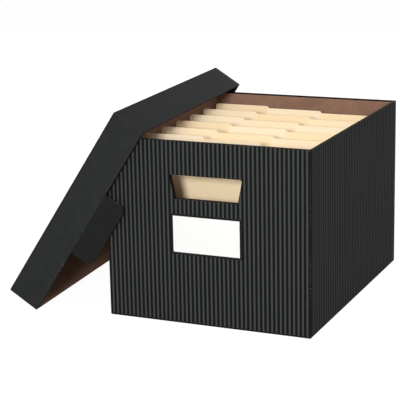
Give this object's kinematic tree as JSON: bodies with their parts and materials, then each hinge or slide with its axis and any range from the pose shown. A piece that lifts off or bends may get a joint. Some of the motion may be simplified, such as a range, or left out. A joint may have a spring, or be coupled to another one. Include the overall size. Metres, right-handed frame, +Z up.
{
  "type": "portable file box",
  "caption": "Folded corrugated file box in dark pinstripe with hand holes and a label, holding tabbed manila folders, its plain dark lid leaning on one side.",
  "frame": {"origin": "centre of the box's underside, on the floor it stands on", "axes": "+X to the right along the labelled front, +Y to the back, +Z up; the lid leans on the box's left side, towards -X"},
  "size_m": [0.4948, 0.4417, 0.3038],
  "materials": {
    "striped_board": "dark printed stripes, matt",
    "lid_board": "plain dark print, matt",
    "kraft_board": "bare brown kraft liner, matt",
    "label_paper": "white paper with a dark border",
    "manila_card": "manila card, matt"
  },
  "bodies": {
    "box": {"box_floor": "striped_board", "box_floor_flap_left": "kraft_board", "box_floor_flap_right": "kraft_board", "box_left_side": "striped_board", "box_right_side": "striped_board", "box_front_end": "striped_board", "box_front_end_lining": "kraft_board", "box_front_corner_flaps": "kraft_board", "box_back_end": "striped_board", "box_back_end_lining": "kraft_board", "box_back_corner_flaps": "kraft_board", "box_label": "label_paper"},
    "lid": {"lid_top": "lid_board", "lid_lower_side": "lid_board", "lid_upper_side": "lid_board", "lid_front_end": "lid_board", "lid_front_end_lining": "lid_board", "lid_front_corner_tabs": "lid_board", "lid_back_end": "lid_board", "lid_back_end_lining": "lid_board", "lid_back_corner_tabs": "lid_board"},
    "front_lock": {"lid_front_lock": "lid_board"},
    "back_lock": {"lid_back_lock": "lid_board"},
    "folder_01": {"folder_01_front": "manila_card", "folder_01_back": "manila_card"},
    "folder_02": {"folder_02_front": "manila_card", "folder_02_back": "manila_card"},
    "folder_03": {"folder_03_front": "manila_card", "folder_03_back": "manila_card"},
    "folder_04": {"folder_04_front": "manila_card", "folder_04_back": "manila_card"},
    "folder_05": {"folder_05_front": "manila_card", "folder_05_back": "manila_card"},
    "folder_06": {"folder_06_front": "manila_card", "folder_06_back": "manila_card"},
    "folder_07": {"folder_07_front": "manila_card", "folder_07_back": "manila_card"},
    "folder_08": {"folder_08_front": "manila_card", "folder_08_back": "manila_card"},
    "folder_09": {"folder_09_front": "manila_card", "folder_09_back": "manila_card"},
    "folder_10": {"folder_10_front": "manila_card", "folder_10_back": "manila_card"},
    "folder_11": {"folder_11_front": "manila_card", "folder_11_back": "manila_card"},
    "folder_12": {"folder_12_front": "manila_card", "folder_12_back": "manila_card"},
    "folder_13": {"folder_13_front": "manila_card", "folder_13_back": "manila_card"},
    "folder_14": {"folder_14_front": "manila_card", "folder_14_back": "manila_card"},
    "folder_15": {"folder_15_front": "manila_card", "folder_15_back": "manila_card"},
    "folder_16": {"folder_16_front": "manila_card", "folder_16_back": "manila_card"},
    "folder_17": {"folder_17_front": "manila_card", "folder_17_back": "manila_card"}
  },
  "joints": [
    {"name": "lid_lift", "type": "slide", "parent": "box", "child": "lid", "axis": [-0.8387, 0, 0.5446], "range_m": [0, 0.16]},
    {"name": "front_lock_fold", "type": "hinge", "parent": "lid", "child": "front_lock", "pos_m": [-0.17847, -0.21607, 0.13735], "axis": [0.5434, 0.0361, 0.8387], "range_deg": [-60, 5]},
    {"name": "back_lock_fold", "type": "hinge", "parent": "lid", "child": "back_lock", "pos_m": [-0.20664, 0.208, 0.13735], "axis": [-0.5434, -0.0361, -0.8387], "range_deg": [-60, 5]},
    {"name": "folder_01_lift", "type": "slide", "parent": "box", "child": "folder_01", "axis": [0, 0, 1], "range_m": [0, 0.022]},
    {"name": "folder_02_lift", "type": "slide", "parent": "box", "child": "folder_02", "axis": [0, 0, 1], "range_m": [0, 0.022]},
    {"name": "folder_03_lift", "type": "slide", "parent": "box", "child": "folder_03", "axis": [0, 0, 1], "range_m": [0, 0.022]},
    {"name": "folder_04_lift", "type": "slide", "parent": "box", "child": "folder_04", "axis": [0, 0, 1], "range_m": [0, 0.022]},
    {"name": "folder_05_lift", "type": "slide", "parent": "box", "child": "folder_05", "axis": [0, 0, 1], "range_m": [0, 0.022]},
    {"name": "folder_06_lift", "type": "slide", "parent": "box", "child": "folder_06", "axis": [0, 0, 1], "range_m": [0, 0.022]},
    {"name": "folder_07_lift", "type": "slide", "parent": "box", "child": "folder_07", "axis": [0, 0, 1], "range_m": [0, 0.022]},
    {"name": "folder_08_lift", "type": "slide", "parent": "box", "child": "folder_08", "axis": [0, 0, 1], "range_m": [0, 0.022]},
    {"name": "folder_09_lift", "type": "slide", "parent": "box", "child": "folder_09", "axis": [0, 0, 1], "range_m": [0, 0.022]},
    {"name": "folder_10_lift", "type": "slide", "parent": "box", "child": "folder_10", "axis": [0, 0, 1], "range_m": [0, 0.022]},
    {"name": "folder_11_lift", "type": "slide", "parent": "box", "child": "folder_11", "axis": [0, 0, 1], "range_m": [0, 0.022]},
    {"name": "folder_12_lift", "type": "slide", "parent": "box", "child": "folder_12", "axis": [0, 0, 1], "range_m": [0, 0.022]},
    {"name": "folder_13_lift", "type": "slide", "parent": "box", "child": "folder_13", "axis": [0, 0, 1], "range_m": [0, 0.022]},
    {"name": "folder_14_lift", "type": "slide", "parent": "box", "child": "folder_14", "axis": [0, 0, 1], "range_m": [0, 0.022]},
    {"name": "folder_15_lift", "type": "slide", "parent": "box", "child": "folder_15", "axis": [0, 0, 1], "range_m": [0, 0.022]},
    {"name": "folder_16_lift", "type": "slide", "parent": "box", "child": "folder_16", "axis": [0, 0, 1], "range_m": [0, 0.022]},
    {"name": "folder_17_lift", "type": "slide", "parent": "box", "child": "folder_17", "axis": [0, 0, 1], "range_m": [0, 0.022]}
  ]
}
